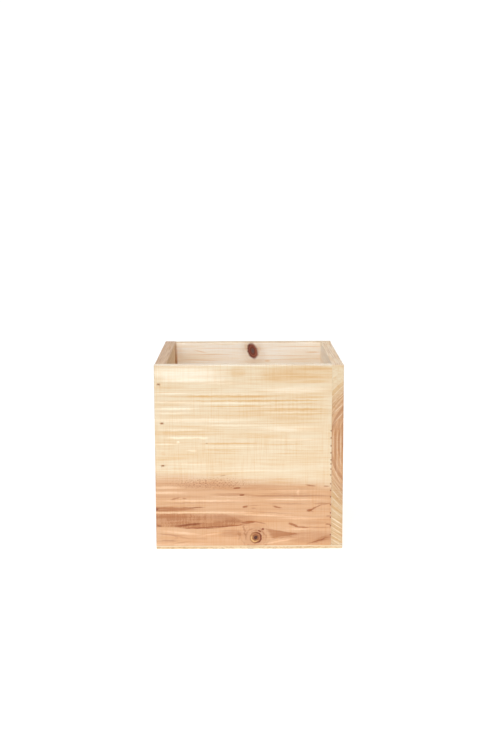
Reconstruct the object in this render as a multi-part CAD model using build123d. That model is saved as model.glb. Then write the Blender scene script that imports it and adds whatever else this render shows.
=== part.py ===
"""Small cube planter box of four softwood boards on a thin bottom panel, all nailed with brads.

The boards go round the box like a pinwheel: each one covers the end of the board before it and
butts against the board after it, so all four have one exposed end. The panel closes the box from
below, flush with the outer faces.

Frame: origin at the centre of the underside, +Z up, front face towards -Y, +X to the right.
Millimetres.
"""
import os

from build123d import *

# Outside of the box
box_width = 152.4  # left to right
box_depth = 152.4  # front to back
box_height = 152.4  # floor to rim

# Boards and panel
wall = 9.5  # thickness of the four boards
panel = 3.0  # thickness of the bottom panel
rim_ease = 0.8  # radius worn on the rim and on the outer upright corners
foot_ease = 0.4  # radius worn on the panel's lower edge
drain_diameter = 12.7  # hole in the middle of the bottom panel

# Brads: short nails cut from flat wire, with a T-shaped head
wire_width = 1.25  # across the strip that the brad is cut from
wire_thickness = 1.0
head_width = 2.0
head_thickness = 0.8
neck_length = 0.4  # taper under the head
tip_width = 0.3  # blunt end of the point
tip_length = 2.0  # taper to the point
corner_brad_length = 25.4  # head to point, at the upright corners
panel_brad_length = 16.0  # head to point, under the panel

# Nailing pattern
corner_brads = 4  # in each upright corner
corner_brad_set = 0.8  # depth of a head below the board's face
corner_brad_low = 17.0  # lowest brad, above the foot of the boards
corner_brad_high = 15.5  # highest brad, below the rim
panel_brads = 3  # along each board
panel_brad_set = 0.3  # depth of a head below the panel's underside
panel_brad_inset = 32.0  # first and last brad, from the outer corners
dent_end_clearance = 0.5  # dent over a head, beyond each end of it
dent_side_clearance = 0.25  # dent over a head, beyond each side of it

# How far the brads of each corner stray from their even places, lowest brad first:
# up the wall, and across the edge that they are driven into.
corner_stray = {
    "front": ((0.0, -2.2), (11.0, 1.5), (7.0, 1.1), (0.0, -1.2)),
    "right": ((3.0, 0.6), (-2.0, -1.3), (4.0, 1.6), (1.0, 0.2)),
    "back": ((-1.0, 1.2), (6.0, -0.4), (-3.0, 0.9), (2.0, -1.8)),
    "left": ((2.0, -0.9), (5.0, 1.0), (-4.0, -1.6), (-1.0, 0.7)),
}

# Each side's own frame has its origin at the board's exposed outer corner, x along the board,
# y into its thickness and z up.
side_frames = {
    "front": Location((-box_width / 2, -box_depth / 2, 0), (0, 0, 0)),
    "right": Location((box_width / 2, -box_depth / 2, 0), (0, 0, 90)),
    "back": Location((box_width / 2, box_depth / 2, 0), (0, 0, 180)),
    "left": Location((-box_width / 2, box_depth / 2, 0), (0, 0, 270)),
}
side_spans = {"front": box_width, "right": box_depth, "back": box_width, "left": box_depth}
sides = list(side_frames)
board_before = {side: sides[place - 1] for place, side in enumerate(sides)}
board_after = {before: side for side, before in board_before.items()}


def board_blank(span):
    """A board before nailing: it stops one thickness short of the far corner."""
    blank = Pos(0, 0, panel) * Box(
        span - wall, wall, box_height - panel, align=(Align.MIN, Align.MIN, Align.MIN)
    )
    rim_edges = blank.edges().filter_by(Axis.X).group_by(Axis.Z)[-1]
    corner_edge = blank.edges().filter_by(Axis.Z).group_by(Axis.X)[0].sort_by(Axis.Y)[0]
    return fillet([*rim_edges, corner_edge], rim_ease)


def brad(length, set_depth):
    """One brad driven along +Y, its head set_depth past the XZ plane."""
    under_head = set_depth + head_thickness
    end = set_depth + length
    right_side = [
        (head_width / 2, set_depth),
        (head_width / 2, under_head),
        (wire_width / 2, under_head + neck_length),
        (wire_width / 2, end - tip_length),
        (tip_width / 2, end),
    ]
    left_side = [(-x, y) for x, y in reversed(right_side)]
    outline = Polygon(*right_side, *left_side, align=None)
    return extrude(outline, amount=wire_thickness / 2, both=True)


def head_dent(set_depth):
    """The dent that the nail gun leaves over a head, from the XZ plane down to the head."""
    dent_width = head_width + 2 * dent_end_clearance
    dent_height = wire_thickness + 2 * dent_side_clearance
    return extrude(Plane.XZ * SlotOverall(dent_width, dent_height), amount=-set_depth)


def corner_places(side):
    """Where the brads of a side's exposed end go, each turned to be driven into the face."""
    low = panel + corner_brad_low
    step = (box_height - corner_brad_high - low) / (corner_brads - 1)
    return [
        side_frames[side] * Pos(wall / 2 + across, 0, low + place * step + up)
        for place, (up, across) in enumerate(corner_stray[side])
    ]


def panel_places(side):
    """Where the brads under a side's board go, each turned to be driven upwards."""
    step = (side_spans[side] - 2 * panel_brad_inset) / (panel_brads - 1)
    return [
        side_frames[side] * Pos(panel_brad_inset + place * step, wall / 2, 0) * Rot(90, 0, 0)
        for place in range(panel_brads)
    ]


def at_places(places, piece):
    """A copy of a piece at each place."""
    return [place * piece for place in places]


def nailed_board(side):
    """A board with the pockets of its own brads, of its neighbour's and of the panel's."""
    board = side_frames[side] * board_blank(side_spans[side])
    corner_brad = brad(corner_brad_length, corner_brad_set)
    board -= at_places(corner_places(side), corner_brad)
    board -= at_places(corner_places(side), head_dent(corner_brad_set))
    board -= at_places(corner_places(board_after[side]), corner_brad)
    board -= at_places(panel_places(side), brad(panel_brad_length, panel_brad_set))
    return board


def bottom_panel():
    """The panel, flush with the boards' outer faces, with its drain hole and brad pockets."""
    blank = Box(box_width, box_depth, panel, align=(Align.CENTER, Align.CENTER, Align.MIN))
    blank = fillet(blank.edges().filter_by(Axis.Z), rim_ease)
    blank = fillet(blank.edges().group_by(Axis.Z)[0], foot_ease)
    blank -= Cylinder(drain_diameter / 2, panel, align=(Align.CENTER, Align.CENTER, Align.MIN))
    for side in sides:
        blank -= at_places(panel_places(side), brad(panel_brad_length, panel_brad_set))
        blank -= at_places(panel_places(side), head_dent(panel_brad_set))
    return blank


nodes = {"bottom_panel": bottom_panel()}
for side in sides:
    corner_set = at_places(corner_places(side), brad(corner_brad_length, corner_brad_set))
    panel_set = at_places(panel_places(side), brad(panel_brad_length, panel_brad_set))
    nodes[f"{side}_board"] = nailed_board(side)
    nodes[f"{side}_to_{board_before[side]}_brads"] = Compound(corner_set)
    nodes[f"panel_to_{side}_brads"] = Compound(panel_set)

os.makedirs("parts", exist_ok=True)
for name, shape in nodes.items():
    shape.label = name
    export_step(shape, f"parts/{name}.step")
    print(f"{name}: {len(shape.solids())} solid(s), {shape.volume:.1f} mm3")
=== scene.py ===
# %% [markdown]
# # A small planter box of bare softwood
# Four sawn boards go round the box like a pinwheel and are nailed to each other, and a thin plywood
# panel is nailed under them. The CAD model fixes every size and place. This script gives each piece
# of wood its worn shape and its figure, one board at a time, and sets up the light and the camera.

# %% Load the frame
import math

import bpy
import numpy as np
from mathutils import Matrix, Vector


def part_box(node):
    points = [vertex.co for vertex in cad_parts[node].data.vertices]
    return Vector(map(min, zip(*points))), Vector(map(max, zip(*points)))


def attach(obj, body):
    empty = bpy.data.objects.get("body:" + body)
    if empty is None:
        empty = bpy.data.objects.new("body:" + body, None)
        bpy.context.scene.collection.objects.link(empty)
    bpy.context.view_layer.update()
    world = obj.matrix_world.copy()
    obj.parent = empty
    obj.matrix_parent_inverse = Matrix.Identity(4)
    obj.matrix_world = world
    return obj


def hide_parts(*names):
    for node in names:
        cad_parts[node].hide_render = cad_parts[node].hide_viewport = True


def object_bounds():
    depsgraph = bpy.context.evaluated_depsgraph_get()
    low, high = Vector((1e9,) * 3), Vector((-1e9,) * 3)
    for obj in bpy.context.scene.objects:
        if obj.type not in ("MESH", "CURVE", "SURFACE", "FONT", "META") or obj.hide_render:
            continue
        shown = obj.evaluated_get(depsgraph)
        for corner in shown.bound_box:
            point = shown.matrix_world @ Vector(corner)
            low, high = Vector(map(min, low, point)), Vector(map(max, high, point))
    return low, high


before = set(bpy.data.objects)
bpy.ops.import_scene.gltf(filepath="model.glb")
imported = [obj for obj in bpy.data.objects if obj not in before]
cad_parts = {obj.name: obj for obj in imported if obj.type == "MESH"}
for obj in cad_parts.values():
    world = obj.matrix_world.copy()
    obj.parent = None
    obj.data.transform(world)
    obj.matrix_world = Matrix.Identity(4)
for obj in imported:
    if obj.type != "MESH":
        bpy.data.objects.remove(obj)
cad_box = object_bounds()
print("CAD box", [round(1000 * (high - low), 2) for low, high in zip(*cad_box)], "mm")

# %% [markdown]
# ## The camera
# The box is seen from the front, from a little above the rim and a little to the left, by a lens
# somewhat longer than normal, so that the uprights lean in only slightly towards the floor. The
# distances are in box widths, so the view holds if the box changes size.

# %% Camera
MM = 0.001
CAMERA_PLACE = (-0.043, -6.686, 1.917)  # from the middle of the underside, in box widths
LENS = 57.2  # mm, for a sensor 36 mm wide
LOOK_DOWN, LOOK_RIGHT, LEAN = 8.91, 0.47, 0.15  # degrees

box_width = cad_box[1].x - cad_box[0].x
camera_data = bpy.data.cameras.new("camera")
camera_data.sensor_width = 36.0
camera_data.lens = LENS
camera = bpy.data.objects.new("camera", camera_data)
camera.location = [part * box_width for part in CAMERA_PLACE]
look_down, look_right, lean = (math.radians(angle) for angle in (LOOK_DOWN, LOOK_RIGHT, LEAN))
camera.rotation_euler = (math.pi / 2 - look_down, lean, -look_right)
bpy.context.scene.collection.objects.link(camera)
bpy.context.scene.camera = camera
print("camera", [round(place, 3) for place in camera.location], "m, lens", camera_data.lens, "mm")

# %% [markdown]
# ## Sums on sockets
# A wood shader is mostly arithmetic: how far from the pith, which growth ring, how deep in a knot.
# Wired by hand that is hundreds of Math nodes. A small class that wraps a socket and overloads the
# usual operators lets the arithmetic be written as it is on paper, and adds the nodes by itself.


# %% Wires and shaders
class Wire:
    """A number, vector or colour on its way from one node to another."""

    def __init__(self, shader, socket):
        self.shader, self.socket = shader, socket

    def math(self, operation, *others):
        """Any other operation of the Math node, on this number and others."""
        inputs = dict(enumerate((self, *others)))
        return self.shader.add("ShaderNodeMath", {"operation": operation}, inputs)

    def __add__(self, other):
        return self.math("ADD", other)

    def __sub__(self, other):
        return self.math("SUBTRACT", other)

    def __rsub__(self, other):
        return self.shader.add("ShaderNodeMath", {"operation": "SUBTRACT"}, {0: other, 1: self})

    def __mul__(self, other):
        return self.math("MULTIPLY", other)

    def __truediv__(self, other):
        return self.math("DIVIDE", other)

    __radd__ = __add__
    __rmul__ = __mul__

    def clamped(self):
        """The number held between 0 and 1."""
        return self.shader.add("ShaderNodeClamp", {}, {0: self})

    def ramp(self, low, high, at_low=0.0, at_high=1.0):
        """A smooth step from at_low to at_high as the number goes from low to high."""
        settings = {"interpolation_type": "SMOOTHSTEP", "clamp": False}
        inputs = {0: self, 1: low, 2: high, 3: at_low, 4: at_high}
        return self.shader.add("ShaderNodeMapRange", settings, inputs)


class Shader:
    """The nodes of a material or a world."""

    def __init__(self, owner):
        owner.use_nodes = True
        self.owner, self.tree = owner, owner.node_tree
        self.surface = self.tree.nodes.get("Principled BSDF")

    def add(self, kind, settings, inputs, output=0):
        """A node of a kind: its settings first, then a value or a wire for each named socket."""
        node = self.tree.nodes.new(kind)
        for name, value in settings.items():
            setattr(node, name, value)
        for key, value in inputs.items():
            self.feed(node.inputs[key], value)
        return Wire(self, node.outputs[output])

    def feed(self, socket, value):
        """Links a wire to a socket, or sets the socket's own value."""
        if isinstance(value, Wire):
            self.tree.links.new(value.socket, socket)
        else:
            socket.default_value = value

    def dress(self, **wires):
        """Feeds the surface shader: base_color=, roughness= and so on name its sockets."""
        for name, value in wires.items():
            self.feed(self.surface.inputs[name.replace("_", " ").title()], value)

    def bump(self, strength, height):
        """A normal that tilts as if the height, from 0 to 1, stood 0.2 mm proud."""
        inputs = {"Strength": strength, "Distance": 0.2 * MM, "Height": height}
        return self.add("ShaderNodeBump", {}, inputs)

    def here(self):
        """The shading point in the box's frame, in mm."""
        return self.vector("DIVIDE", self.add("ShaderNodeTexCoord", {}, {}, "Object"), (MM, MM, MM))

    def facing(self, axis):
        """How squarely the surface faces along an axis, from -1 to 1."""
        normal = self.add("ShaderNodeTexCoord", {}, {}, "Normal")
        return self.vector("DOT_PRODUCT", normal, axis, output="Value")

    def vector(self, operation, *values, output=0):
        """Maths on whole vectors, each one a wire or three numbers."""
        settings = {"operation": operation}
        return self.add("ShaderNodeVectorMath", settings, dict(enumerate(values)), output)

    def split(self, vector):
        """The three numbers of a vector."""
        first = self.add("ShaderNodeSeparateXYZ", {}, {0: vector})
        return [Wire(self, output) for output in first.socket.node.outputs]

    def mix(self, amount, first, second, blend="MIX"):
        """Two colours mixed by an amount from 0 to 1."""
        settings = {"data_type": "RGBA", "blend_type": blend}
        return self.add("ShaderNodeMix", settings, {0: amount, 6: first, 7: second}, 2)

    def noise(self, place, stretch, detail=2.0, output=0):
        """Noise from 0 to 1 whose grains are as long as stretch says along each direction, in mm."""
        scaled = self.vector("DIVIDE", place, stretch)
        inputs = {"Vector": scaled, "Scale": 1.0, "Detail": detail}
        return self.add("ShaderNodeTexNoise", {"noise_dimensions": "3D"}, inputs, output)


def paint(red, green, blue):
    """A colour given in screen values from 0 to 255, as the linear numbers that shaders use."""
    shown = np.array([red, green, blue]) / 255
    linear = np.where(shown <= 0.04045, shown / 12.92, ((shown + 0.055) / 1.055) ** 2.4)
    return (*linear.tolist(), 1.0)


print("pale sapwood as linear light", [round(part, 3) for part in paint(230, 214, 187)[:3]])

# %% [markdown]
# ## Studio light
# A white room and five large soft lamps: in front, behind, overhead and at both sides. With all the
# light coming from wide sources, the bare wood shows its own colours and hardly any shadow. The view
# transform is the plain one, so that white paper can come out white. The room looks whiter than it
# shines, which keeps the lamps' share of the light large enough to model the box.

# %% World and lamps
bpy.context.scene.view_settings.view_transform = "Standard"
ROOM_GLOW = 0.26  # what the room's walls give as light
ROOM_WHITE = 1.05  # how bright they look behind the box
world = bpy.data.worlds.new("white_room")
room = Shader(world)
background = room.tree.nodes["Background"]
background.inputs["Color"].default_value = (1.0, 1.0, 1.0, 1.0)
seen = room.add("ShaderNodeLightPath", {}, {}, "Is Camera Ray")
room.feed(background.inputs["Strength"], seen * (ROOM_WHITE - ROOM_GLOW) + ROOM_GLOW)
bpy.context.scene.world = world


def softbox(name, place, target, size, power):
    """A square area lamp at a place, turned to face a target."""
    lamp_data = bpy.data.lights.new(name, "AREA")
    lamp_data.size = size
    lamp_data.energy = power
    lamp = bpy.data.objects.new(name, lamp_data)
    lamp.location = place
    aim = np.array(target) - np.array(place)
    flat = math.hypot(aim[0], aim[1])
    lamp.rotation_euler = (math.pi / 2 + math.atan2(aim[2], flat), 0.0, -math.atan2(aim[0], aim[1]))
    bpy.context.scene.collection.objects.link(lamp)


MIDDLE = (0.0, 0.0, 0.1)  # a little above the middle of the box
softbox("front_softbox", (-0.2, -2.0, 1.0), MIDDLE, 1.4, 18.5)
softbox("left_softbox", (-1.3, -0.6, 1.0), MIDDLE, 1.2, 11.0)
softbox("right_softbox", (1.3, -0.6, 1.0), MIDDLE, 1.2, 10.0)
softbox("back_softbox", (0.0, 2.0, 0.25), MIDDLE, 1.0, 5.0)
softbox("top_softbox", (0.0, 0.1, 1.7), (0.0, 0.0, 0.0), 1.6, 8.0)

# %% [markdown]
# ## Each side's own frame
# It is easier to think about a board lying on the bench than standing in the box. Every board gets
# a frame of its own in millimetres: x along the grain from its exposed end, y into its thickness
# from the outer face, z up from the floor. The same frame serves the mesh and the shader, so the
# stain of a torn spot and its hollow in the mesh land in the same place.

# %% Side frames
QUARTER_TURNS = {"front": 0, "right": 1, "back": 2, "left": 3}


class Side:
    """A board's place in the box, read from its CAD node."""

    def __init__(self, name):
        self.name = name
        self.turns = QUARTER_TURNS[name]
        low, high = (np.array(corner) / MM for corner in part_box(f"{name}_board"))
        corner_x = high[0] if name in ("right", "back") else low[0]
        corner_y = high[1] if name in ("back", "left") else low[1]
        self.corner = np.array([corner_x, corner_y, 0.0])
        spans = (high - low)[[0, 1]] if self.turns % 2 == 0 else (high - low)[[1, 0]]
        self.length, self.thickness = spans
        self.foot, self.rim = low[2], high[2]

    def to_box(self, points):
        """Points of the board's frame, in mm, turned to the box's frame, in metres."""
        x, y, z = points[..., 0], points[..., 1], points[..., 2]
        across, deep = [(x, y), (-y, x), (-x, -y), (y, -x)][self.turns]
        return (np.stack([across, deep, z], axis=-1) + self.corner) * MM

    def from_box(self, points):
        """Points of the box's frame, in metres, turned to the board's frame, in mm."""
        x, y, z = np.moveaxis(np.asarray(points) / MM - self.corner, -1, 0)
        across, deep = [(x, y), (y, -x), (-x, -y), (-y, x)][self.turns]
        return np.stack([across, deep, z], axis=-1)

    def place(self, shader):
        """The shading point in the board's frame, in mm."""
        here = shader.add("ShaderNodeTexCoord", {}, {}, "Object")
        inputs = {
            "Vector": here,
            "Location": self.corner * MM,
            "Rotation": (0.0, 0.0, self.turns * math.pi / 2),
            "Scale": (MM, MM, MM),
        }
        return shader.add("ShaderNodeMapping", {"vector_type": "TEXTURE"}, inputs)


sides = {name: Side(name) for name in QUARTER_TURNS}
for side in sides.values():
    print(side.name, "board", round(side.length, 2), "x", round(side.thickness, 2), "mm")

# %% [markdown]
# ## Softwood
# A board is a slice out of a trunk. If the shader knows where the pith lies, the distance from it
# gives the growth ring, and the same rings then come out as lines on the faces, as arches where
# the cut grazes them, and as arcs on the end grain, all meeting at the edges. Painting each face
# by itself could never make them meet. Ring by ring, pale earlywood darkens slowly to latewood
# and stops sharply. Inside a certain radius the wood is heartwood, pinker than the sapwood.

# %% Wood colours
SAP = paint(230, 214, 187)
HEART = paint(213, 172, 136)
CREAM = paint(250, 240, 221)
BLUSH = paint(240, 207, 173)
WHITE = (1.0, 1.0, 1.0, 1.0)
GOLDEN = (0.90, 0.72, 0.48, 1.0)  # latewood and gold lines, as a share of the light left
BROWN = (0.66, 0.49, 0.37, 1.0)
DARK = (0.54, 0.30, 0.16, 1.0)
BARK = (0.44, 0.21, 0.14, 1.0)
BRUISE = (0.70, 0.50, 0.36, 1.0)  # wood round a rusting brad
END_TINT = (0.93, 0.94, 0.9, 1.0)  # cut ends drink in more light
RING_WIDTH = 3.6  # mm from one growth ring to the next


def marks(shader, place, rows, depth=2.5, core=0.0):
    """How strongly any of a list of long thin marks shows.

    Each row is (along, height, half length, half height, tilt in degrees, strength). A mark is an
    ellipsoid just under the outer face: its own strength at the middle, fading smoothly to nothing
    at its surface from the share of the way out that core gives.
    """
    turned = {}
    total = 0.0
    for along, height, half_length, half_height, tilt, strength in rows:
        angle = math.radians(tilt)
        if tilt not in turned:
            turned[tilt] = shader.add("ShaderNodeMapping", {}, {0: place, "Rotation": (0.0, angle, 0.0)})
        centre_along = along * math.cos(angle) + height * math.sin(angle)
        centre_up = height * math.cos(angle) - along * math.sin(angle)
        stretch = (1 / half_length, 1 / depth, 1 / half_height)
        offset = (-centre_along / half_length, 0.0, -centre_up / half_height)
        local = shader.vector("MULTIPLY_ADD", turned[tilt], stretch, offset)
        reach = shader.vector("LENGTH", local, output="Value")
        total = reach.ramp(core, 1.0, strength, 0.0) + total
    return total


class Softwood:
    """The figure of one board, built up on a shader step by step."""

    def __init__(self, name, side, pith, pith_drift, heart, seed, late=(0.35, 0.9)):
        """The trunk that a side's board is cut from.

        pith is where the trunk's centre lies, (deep, up) at the exposed end, and pith_drift how far
        it strays for each mm along. heart is (radius, drift, blur) of the heartwood. late is where
        in a ring the latewood begins and where it is full.
        """
        self.shader = Shader(bpy.data.materials.new(name))
        self.place = side.place(self.shader)
        self.side, self.turns = side, side.turns
        self.seeded = self.shader.vector("ADD", self.place, (seed, 0.0, 0.0))
        self.pith, self.pith_drift = pith, pith_drift
        self.heart_radius, self.heart_drift, self.heart_blur = heart
        self.late = late

    def grow(self, knots=()):
        """Works out rings and heartwood, with the grain parting round each knot.

        Each knot is (along, height, reach along, reach up, push). Near it the height is drawn
        towards the knot's own, so lines that would cross it go round instead.
        """
        shader = self.shader
        along, deep, up = shader.split(self.place)
        swell = shader.noise(self.seeded, (70.0, 25.0, 18.0)) - 0.5
        ripple = shader.noise(self.seeded, (16.0, 9.0, 5.0)) - 0.5
        grain_up = up + swell * 3.0 + ripple * 0.7
        for knot_along, knot_up, reach_along, reach_up, push in knots:
            inputs = {
                "Vector": self.place,
                "Location": (knot_along, 0.0, knot_up),
                "Scale": (reach_along, 60.0, reach_up),
            }
            local = shader.add("ShaderNodeMapping", {"vector_type": "TEXTURE"}, inputs)
            pull = shader.vector("LENGTH", local, output="Value").ramp(0.0, 1.0, push, 0.0)
            grain_up = grain_up - pull * (up - knot_up)
        pith_deep, pith_up = self.pith
        drift_deep, drift_up = self.pith_drift
        off_up = grain_up - pith_up - along * drift_up
        off_deep = deep - pith_deep - along * drift_deep
        from_pith = (off_up * off_up + off_deep * off_deep).math("SQRT")
        uneven = shader.add("ShaderNodeTexNoise", {"noise_dimensions": "1D"}, {"W": from_pith / 11.0})
        ring = from_pith / RING_WIDTH + uneven * 1.3
        within = ring.math("FRACT")
        late = within.ramp(*self.late) * within.ramp(0.92, 1.0, 1.0, 0.0)
        age = ring.math("FLOOR")
        boldness = shader.add("ShaderNodeTexWhiteNoise", {"noise_dimensions": "1D"}, {"W": age})
        self.latewood = late * (boldness * 0.75 + 0.25)
        wobble = (shader.noise(self.seeded, (30.0, 6.0, 6.0)) - 0.5) * 5.0
        edge = from_pith + wobble + along * self.heart_drift
        radius, blur = self.heart_radius, self.heart_blur
        self.heart = edge.ramp(radius - blur, radius + blur, 1.0, 0.0)
        self.along, self.deep, self.up = along, deep, up
        return self

    def finish(self, brads, latewood, inner=(0.0, WHITE), rim=(0.0, WHITE), layers=(), sawn=0.38):
        """Colours the rings, lays the given layers over them, then fibres and saw marks.

        inner and rim are (amount, colour) for the inner face and the upper edge. The inner colour is a
        paler painted brightening against the shade inside the box, and the front board's rim colour is
        a painted highlight. Each layer is (amount, colour, blend) and comes after the rings and before
        the fine grain. sawn is how dark the saw marks are.
        """
        shader = self.shader
        inward = [(0.0, 1.0, 0.0), (-1.0, 0.0, 0.0), (0.0, -1.0, 0.0), (1.0, 0.0, 0.0)][self.turns]
        # The inner faces are mixed towards a paler colour of their own: painted brightening against the
        # shade inside the box.
        inside = shader.facing(inward).ramp(0.6, 0.9)
        inner_brightening, inner_brightened_colour = inner
        colour = shader.mix(self.heart, SAP, HEART)
        colour = shader.mix(inside * inner_brightening, colour, inner_brightened_colour)
        blotch = shader.noise(self.seeded, (70.0, 30.0, 9.0)).ramp(0.4, 0.7, 0.0, 0.35)
        late_lines = self.latewood * latewood * (1.0 - inside * 0.5)
        late_colour = shader.mix(self.heart, GOLDEN, BROWN)
        bruises = [(place[0], place[2], 2.3, 1.4, 0, 0.5) for place in brads]
        layers = [
            (blotch, GOLDEN, "MULTIPLY"),
            (late_lines, late_colour, "MULTIPLY"),
            *((amount.clamped(), over, blend) for amount, over, blend in layers),
            (marks(shader, self.place, bruises, core=0.3), BRUISE, "MULTIPLY"),
        ]

        # The upper edge is mixed towards a colour of its own: on the front board a near-white painted
        # highlight along the rounded edge, on the others a tone of the rim's own.
        upper = self.up.ramp(self.side.rim - 1.0, self.side.rim - 0.3)
        rim_tone_and_highlight, rim_tone_and_highlight_colour = rim
        rim_streaks = shader.noise(self.seeded, (36.0, 0.9, 9.0), 2.0).ramp(0.42, 0.66, 0.0, 0.6)
        fibre = shader.noise(self.seeded, (24.0, 0.5, 0.5), 3.0)
        strand = shader.noise(self.seeded, (38.0, 3.0, 1.1), 2.0).ramp(0.48, 0.72, 0.0, 0.45)
        dash = shader.noise(self.seeded, (5.0, 0.3, 0.3), 1.0).ramp(0.66, 0.78)
        saw = shader.noise(self.seeded, (0.9, 90.0, 26.0), 2.0)
        patches = shader.noise(self.seeded, (40.0, 60.0, 30.0)).ramp(0.35, 0.65, 0.3, 1.0)
        saw_marks = saw.ramp(0.42, 0.7, 0.0, sawn) * patches * (1.0 - inside * 0.7)
        grain_way = (0.0, 1.0, 0.0) if self.turns % 2 else (1.0, 0.0, 0.0)
        end_grain = shader.facing(grain_way).math("ABSOLUTE").ramp(0.6, 0.9)
        pore = shader.noise(self.seeded, (8.0, 0.35, 0.35), 2.0).ramp(0.4, 0.7)
        layers += [
            (upper * rim_tone_and_highlight, rim_tone_and_highlight_colour, "MIX"),
            (upper * rim_streaks, BROWN, "MULTIPLY"),
            (fibre.ramp(0.4, 0.75, 0.0, 0.35), GOLDEN, "MULTIPLY"),
            (strand, GOLDEN, "MULTIPLY"),
            (dash * 0.25, BROWN, "MULTIPLY"),
            (saw_marks.clamped(), GOLDEN, "MULTIPLY"),
            (end_grain * pore * 0.2, BROWN, "MULTIPLY"),
            (end_grain * self.latewood * 0.45, late_colour, "MULTIPLY"),
            (end_grain * 0.4, END_TINT, "MULTIPLY"),
        ]
        for amount, over, blend in layers:
            colour = shader.mix(amount, colour, over, blend)

        roughness = fibre * 0.16 + 0.56 - self.latewood * 0.08 + end_grain * 0.15
        relief = fibre * 0.5 + saw * 0.35 + self.latewood * 0.3 - dash * 0.4
        shader.dress(base_color=colour, roughness=roughness, normal=shader.bump(0.35, relief))
        return shader.owner


print("softwood ready, growth rings", RING_WIDTH, "mm wide")

# %% [markdown]
# ## The front board
# Seen straight on, this board is the face of the box. Its upper two thirds are cream sapwood with
# gold lines, its foot is pinkish heartwood with brown bands, and low down a branch has left a round
# knot. The rings alone give a plausible board, but not this board, so its own bands and streaks are
# laid over them one by one. Each mark is a row of numbers: how far from the left end and from the
# floor its middle lies, its half length and half height, all in mm, its tilt and its strength.

# %% Marks of the front board
front_golden_field = [(119, 145, 39, 8.6, 0, 0.42)]
front_gold = [
    (128, 149.3, 24, 1.2, 0, 0.4), (112, 145, 34, 0.8, 0, 0.3), (122, 142.8, 30, 1.0, 0, 0.4),
    (130, 139, 18, 1.4, 0, 0.35), (67, 147, 9, 7, 0, 0.4), (12, 135, 20, 2.2, 0, 0.3),
    (32, 132.1, 40, 0.6, 0, 0.4), (60, 126.9, 52, 1.5, 0, 0.75), (26, 127.6, 28, 1.1, 0, 0.4),
    (78, 123.4, 74, 0.9, 0, 1.0), (125, 125.7, 20, 0.8, 0, 0.4), (118, 123.6, 28, 0.9, 0, 0.5),
    (112, 120.6, 30, 0.8, 0, 0.5), (68, 118.9, 42, 1.0, 0, 0.7), (14, 120.3, 22, 0.8, 0, 0.35),
    (118, 116.4, 30, 1.2, 0, 0.75), (70, 114.5, 24, 1.0, 0, 0.3), (120, 112.2, 28, 1.0, 0, 0.45),
    (40, 111.6, 50, 0.4, 0, 0.35), (115, 109, 34, 2.0, 0, 0.25), (75, 104.9, 80, 0.4, 0, 0.5),
    (20, 102.5, 28, 0.9, 0, 0.3), (18, 97.9, 34, 1.3, 0, 0.45), (28, 96, 38, 0.6, 0, 0.35),
    (110, 97.3, 40, 0.4, 0, 0.35), (75, 94.1, 36, 1.5, 0, 0.35), (20, 91.3, 28, 0.4, 0, 0.3),
    (60, 88.4, 36, 1.2, 0, 0.7), (105, 87.5, 28, 0.9, 0, 0.45), (55, 83.3, 27, 0.8, 0, 0.45),
    (120, 82.2, 26, 0.8, 0, 0.4), (118, 80, 28, 1.5, 0, 0.25), (12, 86.4, 16, 0.4, 0, 0.3),
    (6.5, 80.2, 2.5, 2.5, 0, 0.3), (5, 75, 8, 0.6, 0, 0.35), (16, 67.6, 20, 0.7, 0, 0.4),
    (110, 74, 34, 1.0, 0, 0.2), (30, 62.8, 40, 0.4, 0, 0.35), (90, 58.8, 40, 0.5, 0, 0.4),
]
front_cream = [
    (22, 146, 46, 7, 0, 0.75), (30, 140.4, 40, 2.6, 0, 0.7), (50, 137.6, 30, 1.2, 0, 0.4),
    (112, 132, 38, 4.0, 0, 0.45), (10, 129.6, 26, 1.0, 0, 0.5), (60, 128.9, 50, 0.7, 0, 0.4),
    (12, 122.4, 30, 0.8, 0, 0.6), (60, 121.4, 60, 0.8, 0, 0.6), (16, 117.0, 26, 1.0, 0, 0.85),
    (100, 118.4, 30, 0.8, 0, 0.35), (14, 113.4, 22, 0.9, 0, 0.5), (34, 107.6, 60, 2.2, 0, 0.5),
    (60, 103.2, 50, 0.8, 0, 0.4), (22, 99.8, 30, 0.9, 0, 0.4), (24, 93.2, 22, 1.2, 0, 0.9),
    (40, 92.8, 5, 1.3, 0, 0.7), (18.5, 89.6, 2.2, 1.3, 0, 0.9), (8, 87.9, 16, 0.8, 0, 0.6),
    (30, 82.5, 6, 1.2, 0, 0.6), (60, 85.8, 40, 0.9, 0, 0.3), (92, 69, 80, 8, 0, 0.05),
    (30, 71.5, 34, 1.2, 0, 0.3), (110, 100.5, 34, 3.6, 0, 0.4), (112, 91.2, 34, 1.4, 0, 0.3),
    (110, 113.9, 30, 0.7, 0, 0.4), (60, 65.6, 70, 1.0, 0, 0.25),
]
front_blush = [
    (34, 31.0, 70, 0.7, 0, 0.8), (40, 40.6, 50, 1.5, 0, 0.6), (8, 47.6, 22, 1.6, 0, 0.6),
    (10, 52, 18, 1.8, 0, 0.6), (20, 14, 22, 1.6, -6, 0.5), (112, 41.6, 36, 0.9, 0, 0.6),
    (116, 47.5, 2.0, 4.0, 0, 0.35), (116, 16.8, 15, 0.8, 0, 0.6), (90, 28.4, 44, 1.1, -3, 0.5),
    (14, 4.2, 36, 1.2, 0, 0.4), (100, 6.4, 24, 1.1, 10, 0.5), (110, 49.0, 36, 0.7, 0, 0.4),
    (60, 44.0, 30, 0.7, 0, 0.4), (120, 25.6, 26, 1.0, 0, 0.4), (48, 13.0, 18, 1.2, 10, 0.4),
]
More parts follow.
